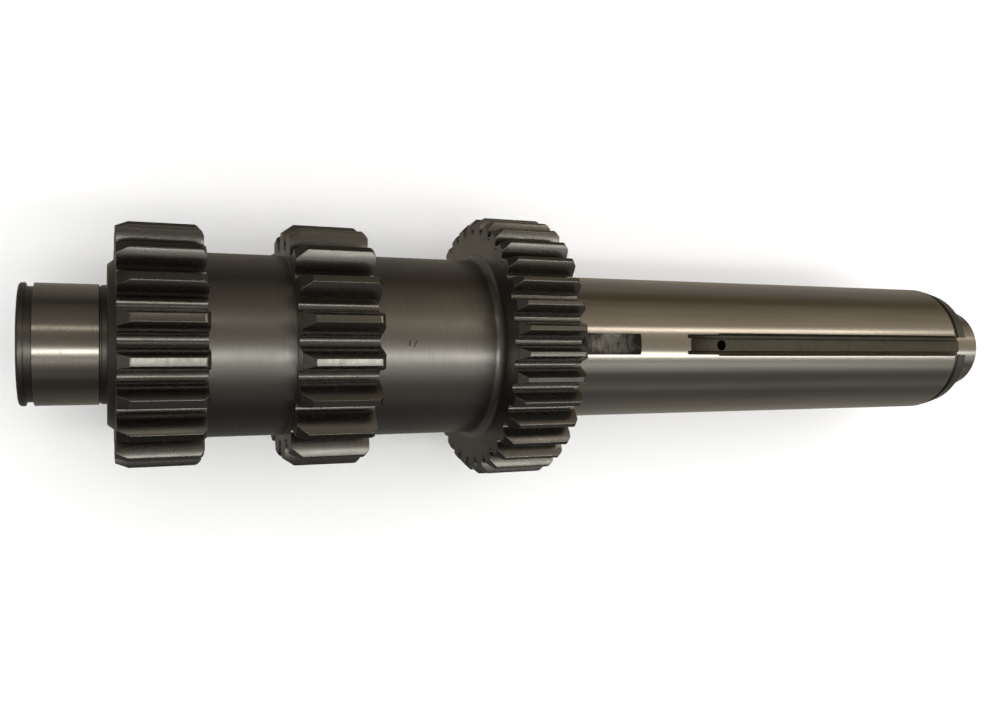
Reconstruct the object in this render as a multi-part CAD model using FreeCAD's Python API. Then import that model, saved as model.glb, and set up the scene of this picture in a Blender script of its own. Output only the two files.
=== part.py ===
"""Transmission countershaft, turned and hobbed from one forging. Millimetres, +X along the axis
towards the front journal, +Z up through the keyways, origin on the axis in the middle of the rear
journal."""
import FreeCAD, Part
import math
import os
from FreeCAD import Vector

# Rear journal: it carries a bearing that a snap ring holds against the shoulder.
rear_journal_diameter = 50.0
rear_bearing_width = 27.0
rear_ring_land = 2.5
rear_ring_groove_width = 3.0
rear_ring_groove_diameter = 47.0
rear_end_chamfer = 0.7
grinding_relief_width = 0.9
grinding_relief_diameter = 48.6
grinding_relief_to_shoulder = 2.1
shoulder_band_diameter = 49.5

# Collar between the rear journal and the first gear, with a turned taper.
collar_length = 2.9
collar_face_diameter = 66.8
collar_gear_diameter = 71.4

# Necks between the gears.
first_neck_length = 34.8
first_neck_diameter = 79.6
second_neck_length = 56.6
second_neck_diameter = 82.3

# Long ground seat for the gears that are keyed on.
gear_seat_diameter = 70.0
gear_seat_length = 250.3
front_ring_groove_width = 3.2
front_ring_groove_diameter = 67.0
end_land_length = 7.7
end_land_back_diameter = 68.8
end_land_front_diameter = 65.0

# Front journal.
front_journal_diameter = 45.0
front_journal_length = 21.2
front_end_chamfer = 1.0

# Lathe centres in both end faces.
centre_mouth_diameter = 12.5
centre_bore_diameter = 5.0
centre_bore_length = 6.0
centre_cone_angle = 60.0

# Keyways. Both were cut with disc cutters on the top line of the gear seat.
key_width = 10.0
woodruff_cutter_diameter = 45.0
woodruff_depth = 8.4
woodruff_from_seat_start = 25.0
keyway_cutter_diameter = 74.0
keyway_depth = 7.5
keyway_from_seat_start = 93.2
keyway_corner_relief_width = 1.8
keyway_corner_relief_depth = 1.2
keyway_edge_chamfer = 0.7
keyway_chamfer_from_seat_start = 87.8
pin_hole_diameter = 5.2
pin_hole_depth = 12.0
pin_hole_from_seat_start = 94.6
drill_point_angle = 118.0

# Height of the round at the foot of a tooth space, as a share of the module.
root_round_height = 0.45

# How far a cutting tool runs past the metal that it removes.
overcut = 2.0


def space_point(radius, angle):
    """Point in the plane across the axis, at an angle from the top line."""
    return Vector(0, radius * math.sin(angle), radius * math.cos(angle))


class Gear:
    """A spur gear cut on the shaft: its tooth form and the turned bevels of its tooth ends."""

    def __init__(self, teeth, module, shift, pressure_angle, width, tip_chamfer,
                 rear_bevel_length, rear_bevel_depth, front_bevel, rear_fillet):
        self.teeth = teeth
        self.width = width
        self.tip_chamfer = tip_chamfer
        self.rear_bevel_length = rear_bevel_length
        self.rear_bevel_depth = rear_bevel_depth
        self.front_bevel = front_bevel
        self.rear_fillet = rear_fillet
        self.pitch_radius = module * teeth / 2
        self.tip_radius = self.pitch_radius + module * (1 + shift)
        self.root_radius = self.pitch_radius - module * (1.25 - shift)
        self.round_end = self.root_radius + root_round_height * module
        angle = math.radians(pressure_angle)
        self.base_radius = self.pitch_radius * math.cos(angle)
        thickness = module * (math.pi / 2 + 2 * shift * math.tan(angle))
        self.base_half_tooth = thickness / (2 * self.pitch_radius) + math.tan(angle) - angle

    def half_space(self, radius):
        """Half the angle of a tooth space at a radius, from the involute of the base circle."""
        pressure = math.acos(min(1.0, self.base_radius / radius))
        half_tooth = self.base_half_tooth - (math.tan(pressure) - pressure)
        return math.pi / self.teeth - half_tooth

    def round_start(self, side):
        """Point on one side of a tooth space where the root round begins."""
        return space_point(self.round_end, side * self.half_space(max(self.base_radius, self.round_end)))


small_gear = Gear(teeth=19, module=5.0, shift=-0.2, pressure_angle=20.0, width=33.8, tip_chamfer=0.5,
                  rear_bevel_length=5.2, rear_bevel_depth=2.1, front_bevel=1.9,
                  rear_fillet=0.0)
middle_gear = Gear(teeth=19, module=5.0, shift=0.22, pressure_angle=20.0, width=34.0, tip_chamfer=0.0,
                   rear_bevel_length=4.9, rear_bevel_depth=3.5, front_bevel=1.9,
                   rear_fillet=0.0)
large_gear = Gear(teeth=34, module=3.5, shift=-0.386, pressure_angle=25.0, width=32.5, tip_chamfer=0.4,
                  rear_bevel_length=3.8, rear_bevel_depth=3.5, front_bevel=1.8,
                  rear_fillet=3.5)

# Stations along the axis, each from the one before it.
rear_end = -(rear_ring_land + rear_ring_groove_width
             + (rear_bearing_width - grinding_relief_to_shoulder - grinding_relief_width) / 2)
rear_shoulder = rear_end + rear_ring_land + rear_ring_groove_width + rear_bearing_width
small_gear_start = rear_shoulder + collar_length
first_neck_start = small_gear_start + small_gear.width
middle_gear_start = first_neck_start + first_neck_length
second_neck_start = middle_gear_start + middle_gear.width
large_gear_start = second_neck_start + second_neck_length
gear_seat_start = large_gear_start + large_gear.width
gear_seat_end = gear_seat_start + gear_seat_length
end_land_start = gear_seat_end + front_ring_groove_width
front_shoulder = end_land_start + end_land_length
front_end = front_shoulder + front_journal_length


class Outline:
    """Half section of a turned part, drawn from the rear end: x along the axis and the radius."""

    def __init__(self, x, radius):
        self.at = Vector(x, 0, radius)
        self.edges = []

    def line(self, x, radius):
        to = Vector(x, 0, radius)
        if to.distanceToPoint(self.at) > 1e-6:
            self.edges.append(Part.LineSegment(self.at, to).toShape())
            self.at = to

    def arc(self, x, radius, centre_x, centre_radius):
        """Shorter arc about a centre, to a new point."""
        to = Vector(x, 0, radius)
        centre = Vector(centre_x, 0, centre_radius)
        size = self.at.distanceToPoint(centre)
        if size > 1e-6:
            middle = centre + (self.at + to - centre * 2).normalize() * size
            self.edges.append(Part.Arc(self.at, middle, to).toShape())
            self.at = to

    def gear(self, gear, start, next_radius):
        """Blank of a gear, from the surface behind it to the one in front of it."""
        end = start + gear.width
        behind = self.at.z
        self.line(start - gear.rear_fillet, behind)
        self.arc(start, behind + gear.rear_fillet, start - gear.rear_fillet, behind + gear.rear_fillet)
        self.line(start, gear.tip_radius - gear.rear_bevel_depth)
        self.line(start + gear.rear_bevel_length, gear.tip_radius)
        self.line(end - gear.front_bevel, gear.tip_radius)
        self.line(end, gear.tip_radius - gear.front_bevel)
        self.line(end, next_radius)

    def revolve(self):
        face = Part.Face(Part.Wire(self.edges))
        return face.revolve(Vector(0, 0, 0), Vector(1, 0, 0), 360)


def turned_blank():
    """The whole shaft as it leaves the lathe, before teeth and keyways are cut."""
    outline = Outline(rear_end, 0)
    journal = rear_journal_diameter / 2
    outline.line(rear_end, journal - rear_end_chamfer)
    outline.line(rear_end + rear_end_chamfer, journal)
    x = rear_end + rear_ring_land
    outline.line(x, journal)
    outline.line(x, rear_ring_groove_diameter / 2)
    x += rear_ring_groove_width
    outline.line(x, rear_ring_groove_diameter / 2)
    outline.line(x, journal)
    x = rear_shoulder - grinding_relief_to_shoulder
    outline.line(x - grinding_relief_width, journal)
    outline.line(x - grinding_relief_width, grinding_relief_diameter / 2)
    outline.line(x, grinding_relief_diameter / 2)
    outline.line(x, shoulder_band_diameter / 2)
    outline.line(rear_shoulder, shoulder_band_diameter / 2)
    outline.line(rear_shoulder, collar_face_diameter / 2)
    outline.line(small_gear_start, collar_gear_diameter / 2)
    outline.gear(small_gear, small_gear_start, first_neck_diameter / 2)
    outline.gear(middle_gear, middle_gear_start, second_neck_diameter / 2)
    outline.gear(large_gear, large_gear_start, gear_seat_diameter / 2)
    outline.line(gear_seat_end, gear_seat_diameter / 2)
    outline.line(gear_seat_end, front_ring_groove_diameter / 2)
    outline.line(end_land_start, front_ring_groove_diameter / 2)
    outline.line(end_land_start, end_land_back_diameter / 2)
    outline.line(front_shoulder, end_land_front_diameter / 2)
    outline.line(front_shoulder, front_journal_diameter / 2)
    outline.line(front_end - front_end_chamfer, front_journal_diameter / 2)
    outline.line(front_end, front_journal_diameter / 2 - front_end_chamfer)
    outline.line(front_end, 0)
    outline.line(rear_end, 0)
    return outline.revolve()


def space_flank(gear, side):
    """One side of a tooth space as curves from the root round to outside the tips."""
    foot = max(gear.base_radius, gear.round_end)
    flare = gear.tip_radius - gear.tip_chamfer
    radii = (foot, (foot + flare) / 2, flare)
    points = [space_point(radius, side * gear.half_space(radius)) for radius in radii]
    curves = []
    if foot > gear.round_end + 1e-6:
        curves.append(Part.LineSegment(gear.round_start(side), points[0]))
    curves.append(Part.Arc(*points))
    outside = gear.tip_radius + overcut
    widening = (overcut + gear.tip_chamfer) / outside
    out_angle = side * (gear.half_space(flare) + widening)
    curves.append(Part.LineSegment(points[-1], space_point(outside, out_angle)))
    return [curve.toShape() for curve in curves]


def tooth_space(gear, start):
    """Cutter for one tooth space on the top line, longer than the gear is wide."""
    flanks = [space_flank(gear, side) for side in (-1, 1)]
    tops = [flank[-1].Vertexes[-1].Point for flank in flanks]
    root = Part.Arc(gear.round_start(-1), space_point(gear.root_radius, 0), gear.round_start(1))
    edges = flanks[0] + flanks[1] + [root.toShape(), Part.LineSegment(*tops).toShape()]
    face = Part.Face(Part.Wire(Part.__sortEdges__(edges)))
    face.translate(Vector(start - overcut, 0, 0))
    return face.extrude(Vector(gear.width + 2 * overcut, 0, 0))


def tooth_spaces(gear, start):
    """All the spaces of a gear. One of them is centred on the top line, in line with the keys."""
    first = tooth_space(gear, start)
    spaces = []
    for index in range(gear.teeth):
        space = first.copy()
        space.rotate(Vector(0, 0, 0), Vector(1, 0, 0), 360 * index / gear.teeth)
        spaces.append(space)
    return spaces


def disc_cut(radius, width, side_offset, centre_x, centre_z):
    """Disc of a milling cutter, with its axis across the shaft."""
    corner = Vector(centre_x, side_offset - width / 2, centre_z)
    return Part.makeCylinder(radius, width, corner, Vector(0, 1, 0))


def woodruff_slot():
    """Pocket of a half-round key near the large gear."""
    radius = woodruff_cutter_diameter / 2
    floor = gear_seat_diameter / 2 - woodruff_depth
    return disc_cut(radius, key_width, 0, gear_seat_start + woodruff_from_seat_start, floor + radius)


def keyway_pass(radius, width, side_offset, centre_z):
    """One cutter width of the long keyway: the disc where it stops and its run to the front."""
    start = gear_seat_start + keyway_from_seat_start
    disc = disc_cut(radius, width, side_offset, start, centre_z)
    run = Part.makeBox(front_shoulder + overcut - start, width, radius,
                       Vector(start, side_offset - width / 2, centre_z - radius))
    return disc.fuse(run)


def long_keyway():
    """Keyway that is open at the front, with corner reliefs and broken top edges."""
    seat = gear_seat_diameter / 2
    radius = keyway_cutter_diameter / 2
    centre_z = seat - keyway_depth + radius
    tools = [keyway_pass(radius, key_width, 0, centre_z)]
    rim_radius = radius + keyway_corner_relief_depth
    rim_offset = (key_width - keyway_corner_relief_width) / 2
    for side in (-1, 1):
        tools.append(keyway_pass(rim_radius, keyway_corner_relief_width, side * rim_offset, centre_z))
    half_key = key_width / 2
    mouth = half_key + keyway_edge_chamfer
    mouth_height = math.sqrt(seat ** 2 - mouth ** 2)
    low = mouth_height - keyway_edge_chamfer
    high = mouth_height + overcut
    start = gear_seat_start + keyway_chamfer_from_seat_start
    corners = [(-half_key, low), (half_key, low), (mouth + overcut, high), (-mouth - overcut, high)]
    section = Part.makePolygon([Vector(start, y, z) for y, z in corners + corners[:1]])
    tools.append(Part.Face(section).extrude(Vector(front_shoulder + overcut - start, 0, 0)))
    return tools


def drilled_hole(diameter, depth, mouth, direction, lead=overcut):
    """Drill with a conical point, entering at the mouth."""
    point = diameter / 2 / math.tan(math.radians(drill_point_angle / 2))
    back = direction * -lead
    drill = Part.makeCylinder(diameter / 2, depth + lead, mouth + back, direction)
    return drill.fuse(Part.makeCone(diameter / 2, 0, point, mouth + direction * depth, direction))


def pin_hole():
    """Blind hole in the floor of the long keyway, where its run-out ends."""
    floor = gear_seat_diameter / 2 - keyway_depth
    mouth = Vector(gear_seat_start + pin_hole_from_seat_start, 0, floor)
    return drilled_hole(pin_hole_diameter, pin_hole_depth, mouth, Vector(0, 0, -1))


def lathe_centre(x, inward):
    """Centre hole in an end face: a cone with a short bore behind it."""
    cone_length = (centre_mouth_diameter - centre_bore_diameter) / 2
    cone_length /= math.tan(math.radians(centre_cone_angle / 2))
    mouth = Vector(x, 0, 0)
    direction = Vector(inward, 0, 0)
    cone = Part.makeCone(centre_mouth_diameter / 2, centre_bore_diameter / 2, cone_length, mouth, direction)
    return cone.fuse(drilled_hole(centre_bore_diameter, cone_length + centre_bore_length, mouth, direction,
                                  lead=0))


def countershaft():
    tools = []
    for gear, start in ((small_gear, small_gear_start), (middle_gear, middle_gear_start),
                        (large_gear, large_gear_start)):
        tools += tooth_spaces(gear, start)
    tools.append(woodruff_slot())
    tools += long_keyway()
    tools.append(pin_hole())
    tools.append(lathe_centre(rear_end, 1))
    tools.append(lathe_centre(front_end, -1))
    return turned_blank().cut(tools)


os.makedirs("parts", exist_ok=True)
shaft = countershaft()
solids = shaft.Solids
print("solids", len(solids), "valid", shaft.isValid(), "volume cm3", round(shaft.Volume / 1000, 1))
print("centre of mass", [round(value, 2) for value in shaft.CenterOfGravity])
solids[0].exportStep("parts/countershaft.step")
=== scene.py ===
"""Transmission countershaft: the finish of its one piece, a stage around it and the camera."""
import math

import bpy
from bpy.props import FloatProperty, FloatVectorProperty, PointerProperty
from mathutils import Matrix, Vector


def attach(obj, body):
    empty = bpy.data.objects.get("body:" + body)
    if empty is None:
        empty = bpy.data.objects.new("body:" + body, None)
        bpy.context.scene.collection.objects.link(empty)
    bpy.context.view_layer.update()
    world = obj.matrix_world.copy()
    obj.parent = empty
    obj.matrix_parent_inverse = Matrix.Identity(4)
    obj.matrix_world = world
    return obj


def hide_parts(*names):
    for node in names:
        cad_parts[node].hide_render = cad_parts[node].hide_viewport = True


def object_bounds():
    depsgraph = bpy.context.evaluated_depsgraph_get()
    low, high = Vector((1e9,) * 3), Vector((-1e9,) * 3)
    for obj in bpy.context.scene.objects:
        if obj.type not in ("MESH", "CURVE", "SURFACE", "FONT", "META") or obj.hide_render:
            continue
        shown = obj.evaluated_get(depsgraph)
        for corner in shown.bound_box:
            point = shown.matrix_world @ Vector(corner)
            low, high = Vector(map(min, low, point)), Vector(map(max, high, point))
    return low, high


bl_info = {
    "name": "Transmission countershaft",
    "version": (1, 0, 0),
    "blender": (4, 5, 0),
    "location": "View3D > Sidebar > Countershaft",
    "description": "Machined finish of a one-piece countershaft with three gears, and a stage for it",
    "category": "Object",
}

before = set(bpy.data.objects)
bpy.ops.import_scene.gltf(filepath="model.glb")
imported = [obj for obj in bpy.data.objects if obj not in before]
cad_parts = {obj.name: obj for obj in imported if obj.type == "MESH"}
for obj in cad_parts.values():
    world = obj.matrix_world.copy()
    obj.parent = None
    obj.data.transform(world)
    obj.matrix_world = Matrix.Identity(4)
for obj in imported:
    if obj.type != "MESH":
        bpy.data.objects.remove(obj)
CAD_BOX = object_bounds()
MM = 0.001
SHAFT = "countershaft"

# Stations along the axis and radii in metres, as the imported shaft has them.
GEAR_SPANS = ((0.0179, 0.0517), (0.0865, 0.1205), (0.1771, 0.2096))
GEAR_TIP_RADII = (0.0515, 0.0536, 0.06165)
TOOTH_FOOT_RADIUS = 0.0402
FRONT_BEVELS = (0.0019, 0.0019, 0.0018)
JOURNAL_HALF_LENGTH = 0.012
REAR_JOURNAL_RADIUS = 0.025
FRONT_JOURNAL_RADIUS = 0.0225
SEAT_SPAN = (0.2096, 0.4599)
SEAT_RADIUS = 0.035
SLOT_END = 0.262
FRONT_SHOULDER = 0.4708
KEYWAY_HALF_WIDTH = 0.0054
FIRST_NECK_RADIUS = 0.0398
SECOND_NECK_RADIUS = 0.04115
CYLINDER_RADII = (FRONT_JOURNAL_RADIUS, REAR_JOURNAL_RADIUS, SEAT_RADIUS, FIRST_NECK_RADIUS,
                  SECOND_NECK_RADIUS, *GEAR_TIP_RADII)

# Tolerances for telling faces and edges apart.
NEAR = 0.00006
MERGE_DISTANCE = 0.02 * MM
FLAT_ANGLE = math.radians(0.6)
SHARP_ANGLE = math.radians(32)
OUTWARD = 0.9
INWARD = -0.5
REARWARD = -0.98
ALONG = 0.02

# Noise values between which the steel goes from its darkest to its lightest tone.
TONE_RANGE = (0.36, 0.64)

# Painted highlight on the slot's floor: its spot, how far it reaches and how much it lightens the tone
# there; beyond its reach the tone is darkened by as much, as painted shade.
PAINTED_HIGHLIGHT_SPOT = (0.2425, 0.0, 0.025)
PAINTED_HIGHLIGHT_REACH = 0.011
PAINTED_HIGHLIGHT_LIFT = 0.3

# Finishes in the order of the shaft's material slots.
KINDS = ("ground_seat", "ground_journal", "turned_neck", "turned_groove",
         "hobbed_tooth", "turned_tip", "milled_keyway", "milled_slot")

# Camera of the photograph, whose frame is 1000 pixels wide.
FOCAL_PIXELS = 937.58
IMAGE_WIDTH = 1000
SENSOR_WIDTH = 36.0
CAMERA_TO_AXIS = 423.2 * MM
CAMERA_STATION = 11.9 * MM
KEYWAY_TURN = math.radians(2.2)
AXIS_IN_VIEW = Vector((0.91943, -0.00156, 0.39325))
NEAR_IN_VIEW = Vector((-0.39323, -0.01466, 0.91932))

# Plain tones of the painted reflections, a glowing room and cards that only the steel shows, darkest first.
DEEP = "#403c38"
SHADE = "#605e5a"
BROWN = "#605440"
DIM = "#706a60"
MUTED = "#88847c"
MIDDLE = "#949088"
PALE_GREY = "#a8a8a0"
PALE_WARM = "#b0a490"

# Painted reflection room, a glowing shell that only the steel shows: degrees around the shaft from
# straight above towards -Y, then the tone there beside the rear journal and beyond the front end.
ROOM = (
    (-180, MUTED, MUTED), (-90, DEEP, BROWN), (-40, DIM, PALE_WARM), (-8, DIM, PALE_WARM),
    (20, MIDDLE, PALE_GREY), (40, MIDDLE, PALE_GREY), (47, SHADE, SHADE), (62, SHADE, SHADE),
    (73, DEEP, MUTED), (86, DEEP, SHADE), (110, DEEP, SHADE), (180, MUTED, MUTED))
ROOM_RADIUS = 2.5
ROOM_CENTRE = 0.23
ROOM_CHANGE = (0.23, 1.43)

# Painted reflection cards, glowing and shown only in the steel: share of the way across from the foot, then
# the tones at the rear and front ends.
WARM_REFLECTION_CARD = ((0.0, MIDDLE, PALE_WARM), (0.36, DIM, MUTED), (0.7, DEEP, BROWN))
GREY_REFLECTION_CARD = ((0.0, MUTED, PALE_GREY), (0.3, SHADE, MUTED), (0.6, DEEP, SHADE))
CARD_FOOT = 0.02
CARD_REACH = 0.2
CARD_TOP = 0.06
CARD_LENGTH = 2.4
CARD_CHANGE = (0.11, 0.30)

# Lamps: start and end along the shaft, place across it, height and width in metres, then colour.
LAMPS = {
    "warm_strip": (0.9, 3.3, 0.74, 1.5, 0.13, "#fff4e6"),
    "back_strip": (-0.6, 0.3, 0.8, 1.5, 0.13, "#fff4e6"),
    "main_strip": (-0.6, 3.3, -0.41, 1.5, 0.19, "#fffcf6"),
    "side_strip": (-0.6, 3.3, -0.95, 1.5, 0.25, "#fffdf8"),
    "floor_light": (-1.0, 1.4, 0, 2.2, 2.0, "#ffffff"),
}


def linear(hex_colour):
    """sRGB hex value as the linear colour that Blender works in."""
    channels = [int(hex_colour[i:i + 2], 16) / 255 for i in (1, 3, 5)]
    return tuple(c / 12.92 if c <= 0.04045 else ((c + 0.055) / 1.055) ** 2.4 for c in channels)


def colour_setting(name, description, hex_colour):
    return FloatVectorProperty(name=name, description=description, subtype="COLOR", size=3,
                               min=0.0, max=1.0, default=linear(hex_colour))


class EdgeSettings(bpy.types.PropertyGroup):
    edge_break: FloatProperty(
        name="Edge break", description="Width of the small break on every machined edge",
        default=0.22 * MM, min=0.05 * MM, max=0.5 * MM, unit="LENGTH", precision=5)
    corner_round: FloatProperty(
        name="Corner round", description="How far the rounds reach on the front corners of the teeth",
        default=0.8 * MM, min=0.1 * MM, max=1.1 * MM, unit="LENGTH", precision=5)


class SteelSettings(bpy.types.PropertyGroup):
    ground_colour: colour_setting(
        "Ground steel", "Bright steel of the journals and the gear seat", "#aeaba4")
    hardened_colour: colour_setting(
        "Hardened steel", "Grey of the necks after case hardening", "#8b8a86")
    tooth_colour: colour_setting(
        "Tooth steel", "Darker grey that the hardening leaves on the teeth", "#7d7c78")
    groove_colour: colour_setting(
        "Groove steel", "Darker steel of grooves, collar and end faces", "#75746f")
    keyway_colour: colour_setting(
        "Keyway steel", "Olive grey on the floor of the long keyway", "#5b5950")
    ground_roughness: FloatProperty(
        name="Ground roughness", description="Roughness of the gear seat", default=0.225, min=0.0, max=1.0)
    hardened_roughness: FloatProperty(
        name="Hardened roughness", description="Roughness of the necks", default=0.34, min=0.0, max=1.0)


class MarkSettings(bpy.types.PropertyGroup):
    stroke_length: FloatProperty(
        name="Stroke length", description="Longer stroke of the inspection tick on the second neck",
        default=3.2 * MM, min=0.5 * MM, max=6 * MM, unit="LENGTH", precision=5)
    stroke_width: FloatProperty(
        name="Stroke width", description="Width of each stroke of the tick",
        default=0.65 * MM, min=0.2 * MM, max=1.5 * MM, unit="LENGTH", precision=5)


class StageSettings(bpy.types.PropertyGroup):
    floor_colour: colour_setting("Floor", "Plain pale floor under the shaft", "#f4f4f4")
    sky_colour: colour_setting("Surroundings", "Plain pale light from all around", "#ececec")
    main_light: FloatProperty(
        name="Main strip", description="Brightness of the strip lamp in front", default=4.0, min=0.0)
    warm_light: FloatProperty(
        name="Warm strip", description="Brightness of the strip lamp behind", default=3.8, min=0.0)
    back_light: FloatProperty(
        name="Back strip", description="Brightness of the warm strip over the rear journal",
        default=1.5, min=0.0)
    side_light: FloatProperty(
        name="Side strip", description="Brightness of the wide faint strip", default=0.28, min=0.0)
    floor_light: FloatProperty(
        name="Floor light", description="Brightness of the wide lamp over the floor", default=1.1, min=0.0)


def add_node(tree, kind, inputs=None, output=0, stops=None, **settings):
    """Adds a node with its settings, inputs and ramp stops, and returns one of its outputs."""
    node = tree.nodes.new(kind)
    for name, value in settings.items():
        setattr(node, name, value)
    for key, value in (inputs or {}).items():
        if isinstance(value, bpy.types.NodeSocket):
            tree.links.new(value, node.inputs[key])
        else:
            node.inputs[key].default_value = value
    if stops:
        while len(node.color_ramp.elements) < len(stops):
            node.color_ramp.elements.new(1.0)
        for element, (place, colour) in zip(node.color_ramp.elements, stops):
            element.position = place
            element.color = (*colour, 1.0)
    return node.outputs[output] if node.outputs else None


def empty_material(name):
    material = bpy.data.materials.new(name)
    material.use_nodes = True
    material.node_tree.nodes.clear()
    return material


def grain(tree, along, around, seed=0.0):
    """Noise with a grain of one size along the shaft and another around it, both in metres."""
    place = add_node(tree, "ShaderNodeTexCoord", output="Object")
    spot = add_node(tree, "ShaderNodeMapping", {
        "Vector": place, "Location": (seed, seed, seed), "Scale": (1 / along, 1 / around, 1 / around)})
    return add_node(tree, "ShaderNodeTexNoise", {"Vector": spot, "Scale": 1.0, "Detail": 2.0})


def bare_steel(name, colour, roughness, anisotropy, tone_grain, mark_grain, mark_depth,
               tone_spread=0.1, rough_spread=0.04, painted_highlight=None):
    """Bare steel whose tone drifts with one grain and whose tool marks follow another.

    Where a painted highlight is given as its place and reach, the steel is lighter near it and darker beyond
    its reach, as painted shade.
    """
    material = empty_material(name)
    tree = material.node_tree
    drift = grain(tree, *tone_grain)
    marks = grain(tree, *mark_grain, seed=5.0)
    tone = add_node(tree, "ShaderNodeMath", {0: drift, 1: marks}, operation="ADD")
    # Painted highlight: lighter tone near the spot, darker beyond its reach as painted shade.
    if painted_highlight:
        spot, reach = painted_highlight
        place = add_node(tree, "ShaderNodeTexCoord", output="Object")
        away = add_node(tree, "ShaderNodeVectorMath", {0: place, 1: spot}, output="Value",
                        operation="DISTANCE")
        lift = add_node(tree, "ShaderNodeMapRange", {
            "Value": away, "From Max": reach, "To Min": PAINTED_HIGHLIGHT_LIFT, "To Max": -PAINTED_HIGHLIGHT_LIFT})
        tone = add_node(tree, "ShaderNodeMath", {0: tone, 1: lift}, operation="ADD")
    dark = tuple(c * (1 - tone_spread) for c in colour)
    light = tuple(c * (1 + tone_spread) for c in colour)
    half_tone = add_node(tree, "ShaderNodeMath", {0: tone, 1: 0.5}, operation="MULTIPLY")
    start, end = TONE_RANGE
    shade = add_node(tree, "ShaderNodeValToRGB", {"Fac": half_tone}, stops=[(start, dark), (end, light)])
    rough = add_node(tree, "ShaderNodeMapRange", {
        "Value": half_tone, "From Min": start, "From Max": end,
        "To Min": roughness + rough_spread, "To Max": roughness - rough_spread})
    bump = add_node(tree, "ShaderNodeBump", {"Height": marks, "Strength": 1.0, "Distance": mark_depth})
    inputs = {"Base Color": shade, "Metallic": 1.0, "Roughness": rough, "Anisotropic": anisotropy,
              "Normal": bump}
    if anisotropy:
        inputs["Tangent"] = add_node(tree, "ShaderNodeCombineXYZ", {"X": 1.0})
    shader = add_node(tree, "ShaderNodeBsdfPrincipled", inputs)
    add_node(tree, "ShaderNodeOutputMaterial", {"Surface": shader})
    return material


# Grinding and feed marks are 0.02 to 0.2 mm apart on the real shaft, too fine to show at this size.
# The mark grains below are drawn coarser, at 0.7 mm or more, and very shallow.
def ground_seat_steel(steel):
    """Cylindrically ground: long clean highlights, with faint streaks along the shaft from polishing."""
    return bare_steel("ground_seat_steel", steel.ground_colour, steel.ground_roughness, 0.83,
                      tone_grain=(60 * MM, 14 * MM), mark_grain=(160 * MM, 2.2 * MM), mark_depth=0.0012 * MM,
                      tone_spread=0.06, rough_spread=0.02)


def ground_journal_steel(steel):
    """Ground like the seat, but duller, with fine rings from the wheel."""
    return bare_steel("ground_journal_steel", steel.ground_colour, steel.ground_roughness + 0.03, 0.7,
                      tone_grain=(25 * MM, 10 * MM), mark_grain=(1.2 * MM, 30 * MM), mark_depth=0.0004 * MM,
                      tone_spread=0.05, rough_spread=0.03)


def turned_neck_steel(steel):
    """Turned, then case hardened: dark satin grey with soft wide highlights and fine feed rings."""
    return bare_steel("turned_neck_steel", steel.hardened_colour, steel.hardened_roughness, 0.3,
                      tone_grain=(14 * MM, 14 * MM), mark_grain=(0.8 * MM, 12 * MM), mark_depth=0.0028 * MM,
                      tone_spread=0.06, rough_spread=0.03)


def turned_groove_steel(steel):
    """Turned and left as cut in grooves, collar and end faces: darker, with rings that show."""
    return bare_steel("turned_groove_steel", steel.groove_colour, 0.38, 0.3,
                      tone_grain=(8 * MM, 20 * MM), mark_grain=(0.7 * MM, 20 * MM), mark_depth=0.006 * MM)


def hobbed_tooth_steel(steel):
    """Hobbed, then case hardened: dark smooth flanks with soft highlights along the tooth."""
    return bare_steel("hobbed_tooth_steel", steel.tooth_colour, 0.27, 0.0,
                      tone_grain=(9 * MM, 5 * MM), mark_grain=(14 * MM, 1.5 * MM), mark_depth=0.001 * MM,
                      tone_spread=0.07, rough_spread=0.03)


def turned_tip_steel(steel):
    """Turned tip lands of the teeth: narrow, bright where they face a lamp, with short feed marks."""
    return bare_steel("turned_tip_steel", steel.tooth_colour, 0.24, 0.3,
                      tone_grain=(6 * MM, 6 * MM), mark_grain=(2.2 * MM, 6 * MM), mark_depth=0.002 * MM,
                      tone_spread=0.08, rough_spread=0.04)


def milled_keyway_steel(steel):
    """Milled keyway: olive grey and dull, with feed marks across it."""
    return bare_steel("milled_keyway_steel", steel.keyway_colour, 0.42, 0.0,
                      tone_grain=(20 * MM, 4 * MM), mark_grain=(1.5 * MM, 6 * MM), mark_depth=0.003 * MM)


def milled_slot_steel(steel):
    """Slot cut by a plunging disc: dark and blotchy, with a painted highlight on its floor and painted shade
    towards its ends.
    """
    return bare_steel("milled_slot_steel", steel.hardened_colour, 0.25, 0.0,
                      tone_grain=(6 * MM, 6 * MM), mark_grain=(1.6 * MM, 5 * MM), mark_depth=0.002 * MM,
                      tone_spread=0.65, rough_spread=0.03, painted_highlight=(PAINTED_HIGHLIGHT_SPOT, PAINTED_HIGHLIGHT_REACH))


FINISHES = {
    "ground_seat": ground_seat_steel, "ground_journal": ground_journal_steel,
    "turned_neck": turned_neck_steel, "turned_groove": turned_groove_steel,
    "hobbed_tooth": hobbed_tooth_steel, "turned_tip": turned_tip_steel,
    "milled_keyway": milled_keyway_steel, "milled_slot": milled_slot_steel}


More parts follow.
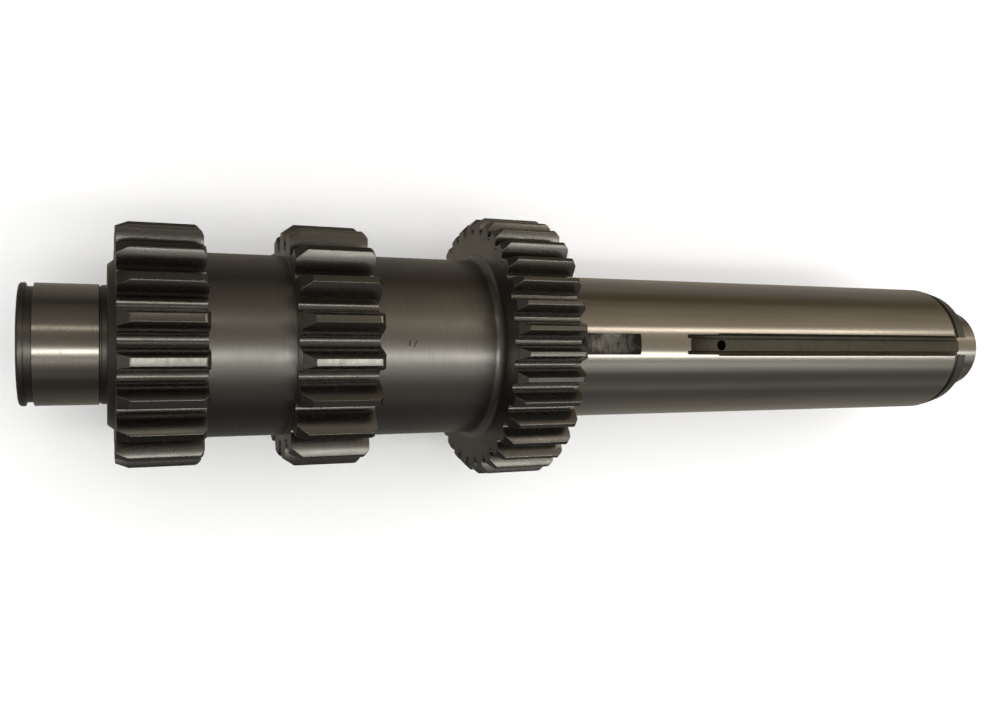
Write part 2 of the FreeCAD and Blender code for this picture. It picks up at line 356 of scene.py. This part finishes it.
def surface_kind(centre, normal):
    """How a face of the shaft was made, from its place and the way that it faces."""
    radius = math.hypot(centre.y, centre.z)
    outward = (normal.y * centre.y + normal.z * centre.z) / max(radius, NEAR)
    for (start, end), tip in zip(GEAR_SPANS, GEAR_TIP_RADII):
        if start - NEAR < centre.x < end + NEAR and radius > TOOTH_FOOT_RADIUS:
            if radius > tip - 2 * NEAR and outward > OUTWARD:
                return "turned_tip"
            return "turned_groove" if normal.x < REARWARD else "hobbed_tooth"
    start, end = SEAT_SPAN
    in_keyway = abs(centre.y) < KEYWAY_HALF_WIDTH and centre.z > 0 and start < centre.x < FRONT_SHOULDER
    if in_keyway and radius < SEAT_RADIUS - 5 * NEAR:
        return "milled_slot" if centre.x < SLOT_END else "milled_keyway"
    if start < centre.x < end and radius > SEAT_RADIUS - 5 * NEAR:
        return "ground_seat"
    if abs(centre.x) < JOURNAL_HALF_LENGTH + NEAR and outward > OUTWARD:
        return "ground_journal"
    if centre.x > FRONT_SHOULDER and outward > OUTWARD:
        return "ground_journal"
    if GEAR_SPANS[0][1] < centre.x < GEAR_SPANS[2][0] and outward > INWARD:
        return "turned_neck"
    return "turned_groove"


def is_front_corner(edge, mesh):
    """Whether an edge runs across the front bevel of a tooth, at its tip or at its face."""
    ends = [mesh.vertices[i].co for i in edge.vertices]
    for (start, front), tip, bevel in zip(GEAR_SPANS, GEAR_TIP_RADII, FRONT_BEVELS):
        for station, ring in ((front - bevel, tip), (front, tip - bevel)):
            if all(abs(end.x - station) < NEAR and abs(math.hypot(end.y, end.z) - ring) < 3 * NEAR
                   for end in ends):
                return True
    return False


def weigh_edges(mesh, break_share):
    """Gives the front corners of the teeth a full bevel weight and other sharp edges a small share."""
    directions = {}
    for face in mesh.polygons:
        for pair in face.edge_keys:
            directions.setdefault(pair, []).append(face.normal)
    weights = mesh.attributes.new("bevel_weight_edge", "FLOAT", "EDGE")
    for edge in mesh.edges:
        sides = directions[edge.key]
        if is_front_corner(edge, mesh):
            weights.data[edge.index].value = 1.0
        elif len(sides) == 2 and sides[0].angle(sides[1]) > SHARP_ANGLE:
            weights.data[edge.index].value = break_share


def round_off_cylinders(mesh):
    """Gives faces on a cylinder of the shaft its true normals, so that highlights run straight."""
    normals = [Vector(corner.vector) for corner in mesh.corner_normals]
    for face in mesh.polygons:
        corners = [mesh.vertices[i].co for i in face.vertices]
        radii = [math.hypot(corner.y, corner.z) for corner in corners]
        on_cylinder = any(all(abs(radius - size) < NEAR for radius in radii) for size in CYLINDER_RADII)
        if on_cylinder and abs(face.normal.x) < ALONG:
            for loop, corner, radius in zip(face.loop_indices, corners, radii):
                normals[loop] = Vector((0, corner.y / radius, corner.z / radius))
    mesh.normals_split_custom_set(normals)


def only_this(context, piece):
    bpy.ops.object.select_all(action="DESELECT")
    piece.select_set(True)
    context.view_layer.objects.active = piece


class COUNTERSHAFT_OT_body(bpy.types.Operator):
    """Shaft with its merged faces, rounded tooth corners, broken edges and machined finishes"""
    bl_idname = "countershaft.body"
    bl_label = "Finished shaft"

    def execute(self, context):
        edges = context.scene.countershaft_edges
        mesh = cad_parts[SHAFT].data.copy()
        mesh.name = "finished_shaft"
        mesh.materials.clear()
        piece = bpy.data.objects.new("finished_shaft", mesh)
        context.scene.collection.objects.link(piece)
        only_this(context, piece)
        bpy.ops.mesh.customdata_custom_splitnormals_clear()
        bpy.ops.object.mode_set(mode="EDIT")
        bpy.ops.mesh.select_all(action="SELECT")
        bpy.ops.mesh.remove_doubles(threshold=MERGE_DISTANCE)
        bpy.ops.mesh.dissolve_limited(angle_limit=FLAT_ANGLE)
        bpy.ops.mesh.select_all(action="DESELECT")
        bpy.ops.object.mode_set(mode="OBJECT")
        for kind in KINDS:
            mesh.materials.append(FINISHES[kind](context.scene.countershaft_steel))
        for face in mesh.polygons:
            face.material_index = KINDS.index(surface_kind(face.center, face.normal))
        weigh_edges(mesh, edges.edge_break / edges.corner_round)
        bevel = piece.modifiers.new("edge_break", "BEVEL")
        bevel.width = edges.corner_round
        bevel.segments = 3
        bevel.limit_method = "WEIGHT"
        bevel.use_clamp_overlap = False
        bpy.ops.object.modifier_apply(modifier=bevel.name)
        bpy.ops.object.shade_smooth_by_angle(angle=SHARP_ANGLE, keep_sharp_edges=False)
        flat = piece.modifiers.new("flat_faces_stay_flat", "WEIGHTED_NORMAL")
        flat.keep_sharp = True
        flat.weight = 100
        bpy.ops.object.modifier_apply(modifier=flat.name)
        round_off_cylinders(mesh)
        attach(piece, "root")
        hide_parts(SHAFT)
        return {"FINISHED"}


# Strokes of the tick: station, degrees from straight above towards -Y, lean, share of full length.
# Each stands half its thickness proud of the neck.
TICK_STROKES = ((0.1337, 0.6, 82, 0.8), (0.1362, 0.9, 62, 1.0))
STROKE_THICKNESS = 0.12 * MM
STROKE_SOFTNESS = 0.05 * MM


class COUNTERSHAFT_OT_tick(bpy.types.Operator):
    """Small hand-struck inspection tick on the second neck, two strokes with no letter or sign"""
    bl_idname = "countershaft.tick"
    bl_label = "Inspection tick"

    def execute(self, context):
        marks = context.scene.countershaft_marks
        bpy.ops.object.select_all(action="DESELECT")
        strokes = []
        for station, turn, lean, share in TICK_STROKES:
            bpy.ops.mesh.primitive_cube_add(size=1)
            stroke = context.object
            stroke.scale = (marks.stroke_length * share, marks.stroke_width, STROKE_THICKNESS)
            angle = math.radians(turn)
            stroke.rotation_euler = (angle, 0, math.radians(lean))
            stroke.location = (station, -SECOND_NECK_RADIUS * math.sin(angle),
                               SECOND_NECK_RADIUS * math.cos(angle))
            strokes.append(stroke)
        for stroke in strokes:
            stroke.select_set(True)
        bpy.ops.object.join()
        piece = context.object
        piece.name = "inspection_tick"
        bpy.ops.object.transform_apply(location=True, rotation=True, scale=True)
        bevel = piece.modifiers.new("soft_ends", "BEVEL")
        bevel.width = STROKE_SOFTNESS
        bevel.segments = 2
        bpy.ops.object.modifier_apply(modifier=bevel.name)
        bpy.ops.object.shade_smooth_by_angle(angle=SHARP_ANGLE)
        steel = context.scene.countershaft_steel
        piece.data.materials.append(bare_steel(
            "struck_tick_steel", tuple(c * 0.35 for c in steel.hardened_colour), 0.4, 0.0,
            tone_grain=(0.6 * MM, 0.6 * MM), mark_grain=(0.5 * MM, 0.5 * MM), mark_depth=0.01 * MM,
            tone_spread=0.4))
        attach(piece, "root")
        return {"FINISHED"}


def camera_matrix():
    """Pose of the camera: its right, down and forward directions from the shaft's own directions."""
    across_in_view = NEAR_IN_VIEW.cross(AXIS_IN_VIEW)
    along = Vector((1, 0, 0))
    near = Vector((0, math.sin(KEYWAY_TURN), -math.cos(KEYWAY_TURN)))
    across = Vector((0, -math.cos(KEYWAY_TURN), -math.sin(KEYWAY_TURN)))
    rows = [along * AXIS_IN_VIEW[i] + near * NEAR_IN_VIEW[i] + across * across_in_view[i] for i in range(3)]
    right, down, forward = [row.normalized() for row in rows]
    place = Vector((CAMERA_STATION, 0, 0)) - near * CAMERA_TO_AXIS
    turn = Matrix((right, -down, -forward)).transposed()
    return Matrix.Translation(place) @ turn.to_4x4()


def add_camera(context):
    bpy.ops.object.camera_add()
    camera = context.object
    camera.name = "camera"
    camera.data.sensor_width = SENSOR_WIDTH
    camera.data.lens = SENSOR_WIDTH * FOCAL_PIXELS / IMAGE_WIDTH
    camera.data.clip_start = 0.01
    camera.matrix_world = camera_matrix()
    context.scene.camera = camera


def add_lamp(name, brightness):
    """Long lamp parallel to the shaft, turned to face the axis."""
    start, end, across, height, width, hex_colour = LAMPS[name]
    data = bpy.data.lights.new(name, "AREA")
    data.shape = "RECTANGLE"
    data.size = end - start
    data.size_y = width
    data.energy = brightness * math.pi * (end - start) * width
    data.color = linear(hex_colour)
    lamp = bpy.data.objects.new(name, data)
    lamp.location = ((start + end) / 2, across, height)
    lamp.rotation_euler = (math.atan2(-across, height), 0, 0)
    bpy.context.scene.collection.objects.link(lamp)
    return lamp


def painted_reflection_glow(name, find_place, stops, change):
    """Painted reflection: a glow that changes along one measure, and from the rear to the front end of the
    shaft.
    """
    material = empty_material(name)
    tree = material.node_tree
    place = add_node(tree, "ShaderNodeTexCoord", output="Object")
    parts = [add_node(tree, "ShaderNodeSeparateXYZ", {"Vector": place}, output=axis) for axis in "XYZ"]
    turn = find_place(tree, *parts)
    rear = add_node(tree, "ShaderNodeValToRGB", {"Fac": turn}, stops=[(s, linear(c)) for s, c, _ in stops])
    front = add_node(tree, "ShaderNodeValToRGB", {"Fac": turn}, stops=[(s, linear(c)) for s, _, c in stops])
    share = add_node(tree, "ShaderNodeMapRange", {
        "Value": parts[0], "From Min": change[0], "From Max": change[1]})
    colour = add_node(tree, "ShaderNodeMix", {"Factor": share, 6: rear, 7: front}, output=2,
                      data_type="RGBA")
    glow = add_node(tree, "ShaderNodeEmission", {"Color": colour, "Strength": 1.0})
    add_node(tree, "ShaderNodeOutputMaterial", {"Surface": glow})
    return material


def around_shaft(tree, x, y, z):
    """Angle around the shaft from straight above towards -Y, a whole turn as 0 to 1."""
    minus_y = add_node(tree, "ShaderNodeMath", {0: y, 1: -1.0}, operation="MULTIPLY")
    angle = add_node(tree, "ShaderNodeMath", {0: minus_y, 1: z}, operation="ARCTAN2")
    return add_node(tree, "ShaderNodeMapRange", {"Value": angle, "From Min": -math.pi, "From Max": math.pi})


def across_card(tree, x, y, z):
    """Share of the way from a card's foot to its outer edge."""
    away = add_node(tree, "ShaderNodeMath", {0: y}, operation="ABSOLUTE")
    return add_node(tree, "ShaderNodeMapRange", {
        "Value": away, "From Min": CARD_FOOT, "From Max": CARD_REACH})


def as_painted_reflection(context, name, material):
    """Makes the new object a glowing card that shows in the steel and nowhere else, as a painted reflection.
    """
    card = context.object
    card.name = name
    bpy.ops.object.transform_apply(location=True, rotation=True, scale=True)
    card.data.materials.append(material)
    card.visible_camera = False
    card.visible_diffuse = False
    card.visible_shadow = False
    card.visible_transmission = False


def add_painted_reflection_card(context, name, side, stops):
    """Long glowing card, a painted reflection, that leans away from the foot of the shaft on one side."""
    foot = Vector((CARD_FOOT, CAD_BOX[0][2] + 0.5 * MM))
    edge = Vector((CARD_REACH, CARD_TOP))
    middle = (foot + edge) / 2
    bpy.ops.object.select_all(action="DESELECT")
    bpy.ops.mesh.primitive_plane_add(size=1, location=(ROOM_CENTRE, side * middle.x, middle.y),
                                     rotation=(side * math.atan2(edge.y - foot.y, edge.x - foot.x), 0, 0))
    context.object.scale = (CARD_LENGTH, (edge - foot).length, 1)
    as_painted_reflection(context, name, painted_reflection_glow(name, across_card, stops, CARD_CHANGE))


def add_painted_reflection_room(context):
    """Closed glowing shell far outside, which the steel shows as a painted reflection of a room."""
    bpy.ops.object.select_all(action="DESELECT")
    bpy.ops.mesh.primitive_uv_sphere_add(segments=64, ring_count=32, radius=ROOM_RADIUS,
                                         location=(ROOM_CENTRE, 0, 0))
    stops = [((degrees + 180) / 360, rear, front) for degrees, rear, front in ROOM]
    glow = painted_reflection_glow("painted_reflection_room", around_shaft, stops, ROOM_CHANGE)
    as_painted_reflection(context, "painted_reflection_room", glow)


def add_floor(context, colour):
    """Matte painted floor, plain and pale."""
    material = empty_material("matte_floor_paint")
    tree = material.node_tree
    paint = add_node(tree, "ShaderNodeBsdfPrincipled", {"Base Color": (*colour, 1.0), "Roughness": 0.8})
    add_node(tree, "ShaderNodeOutputMaterial", {"Surface": paint})
    bpy.ops.object.select_all(action="DESELECT")
    bpy.ops.mesh.primitive_plane_add(size=6, location=(ROOM_CENTRE, 0, CAD_BOX[0][2]))
    context.object.name = "floor"
    context.object.data.materials.append(material)


def add_surroundings(context, colour):
    world = bpy.data.worlds.new("pale_studio")
    world.use_nodes = True
    world.node_tree.nodes.clear()
    light = add_node(world.node_tree, "ShaderNodeBackground", {"Color": (*colour, 1.0), "Strength": 1.0})
    add_node(world.node_tree, "ShaderNodeOutputWorld", {"Surface": light})
    context.scene.world = world


class COUNTERSHAFT_OT_stage(bpy.types.Operator):
    """Floor, surroundings, painted reflection room and cards, lamps and camera"""
    bl_idname = "countershaft.stage"
    bl_label = "Stage"

    def execute(self, context):
        stage = context.scene.countershaft_stage
        add_floor(context, stage.floor_colour)
        add_surroundings(context, stage.sky_colour)
        add_painted_reflection_room(context)
        add_painted_reflection_card(context, "warm_reflection_card", 1, WARM_REFLECTION_CARD)
        add_painted_reflection_card(context, "grey_reflection_card", -1, GREY_REFLECTION_CARD)
        add_lamp("warm_strip", stage.warm_light)
        add_lamp("back_strip", stage.back_light)
        add_lamp("main_strip", stage.main_light)
        add_lamp("side_strip", stage.side_light)
        add_lamp("floor_light", stage.floor_light).visible_glossy = False
        add_camera(context)
        context.scene.view_settings.view_transform = "Standard"
        return {"FINISHED"}


class COUNTERSHAFT_PT_panel(bpy.types.Panel):
    """The shaft's operators, in the order that main calls them"""
    bl_idname = "COUNTERSHAFT_PT_panel"
    bl_label = "Countershaft"
    bl_space_type = "VIEW_3D"
    bl_region_type = "UI"
    bl_category = "Countershaft"

    def draw(self, context):
        for operator in OPERATORS:
            self.layout.operator(operator.bl_idname)


OPERATORS = (COUNTERSHAFT_OT_body, COUNTERSHAFT_OT_tick, COUNTERSHAFT_OT_stage)
SETTINGS = {"countershaft_edges": EdgeSettings, "countershaft_steel": SteelSettings,
            "countershaft_marks": MarkSettings, "countershaft_stage": StageSettings}
CLASSES = (*SETTINGS.values(), *OPERATORS, COUNTERSHAFT_PT_panel)


def register():
    for cls in CLASSES:
        bpy.utils.register_class(cls)
    for name, group in SETTINGS.items():
        setattr(bpy.types.Scene, name, PointerProperty(type=group))


def unregister():
    for name in SETTINGS:
        delattr(bpy.types.Scene, name)
    for cls in reversed(CLASSES):
        bpy.utils.unregister_class(cls)


def main():
    register()
    bpy.ops.countershaft.body()
    bpy.ops.countershaft.tick()
    bpy.ops.countershaft.stage()


if __name__ == "__main__":
    main()
